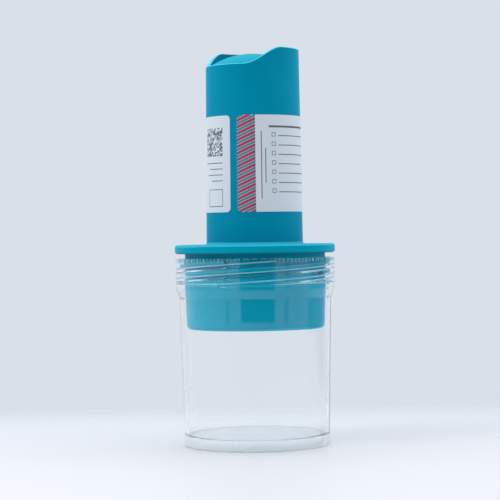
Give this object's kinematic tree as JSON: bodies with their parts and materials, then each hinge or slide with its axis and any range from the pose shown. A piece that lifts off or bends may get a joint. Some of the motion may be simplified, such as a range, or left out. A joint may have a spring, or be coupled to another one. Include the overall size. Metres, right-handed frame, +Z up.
{
  "type": "formalin biopsy container",
  "caption": "Clear screw-neck specimen jar with a tall lid that stores fixative; pressing the dome on top pushes a plug out and lets the liquid down onto the sample.",
  "frame": {"origin": "middle of the jar's foot ring, on the face that it stands on", "axes": "+Z up along the jar and the lid; -Y towards the front of the label; the thumb valley opens to the front left"},
  "size_m": [0.0576, 0.0576, 0.1418],
  "materials": {
    "clear_plastic": "gloss",
    "teal_plastic": "satin",
    "teal_elastomer": "satin",
    "white_plastic": "satin",
    "seal_rubber": "matte",
    "gasket_rubber": "matte",
    "label_paper": "satin",
    "clear_liquid": "gloss"
  },
  "bodies": {
    "jar": {"jar": "clear_plastic"},
    "seal": {"lid_gasket": "gasket_rubber"},
    "lid": {"lid_shell": "teal_plastic", "bottom_plate": "teal_plastic", "press_dome": "teal_elastomer", "dome_ring": "white_plastic", "rod_guide": "white_plastic", "wrap_label": "label_paper", "formalin_fill": "clear_liquid"},
    "plunger": {"push_rod": "white_plastic", "valve_plug": "white_plastic", "plug_seal": "seal_rubber"}
  },
  "joints": [
    {"name": "lid_rise", "type": "slide", "parent": "jar", "child": "seal", "axis": [0, 0, 1], "range_m": [-0.00166, 0.0298]},
    {"name": "lid_turn", "type": "hinge", "parent": "seal", "child": "lid", "pos_m": [0, 0, 0.0692], "axis": [0, 0, 1], "range_deg": [-60, 1080]},
    {"name": "plunger_press", "type": "slide", "parent": "lid", "child": "plunger", "axis": [0, 0, -1], "range_m": [0, 0.0065], "deforming": ["press_dome"]}
  ],
  "couplings": [
    {"joint": "lid_rise", "follows": "lid_turn", "m_per_rad": 0.0015756}
  ]
}
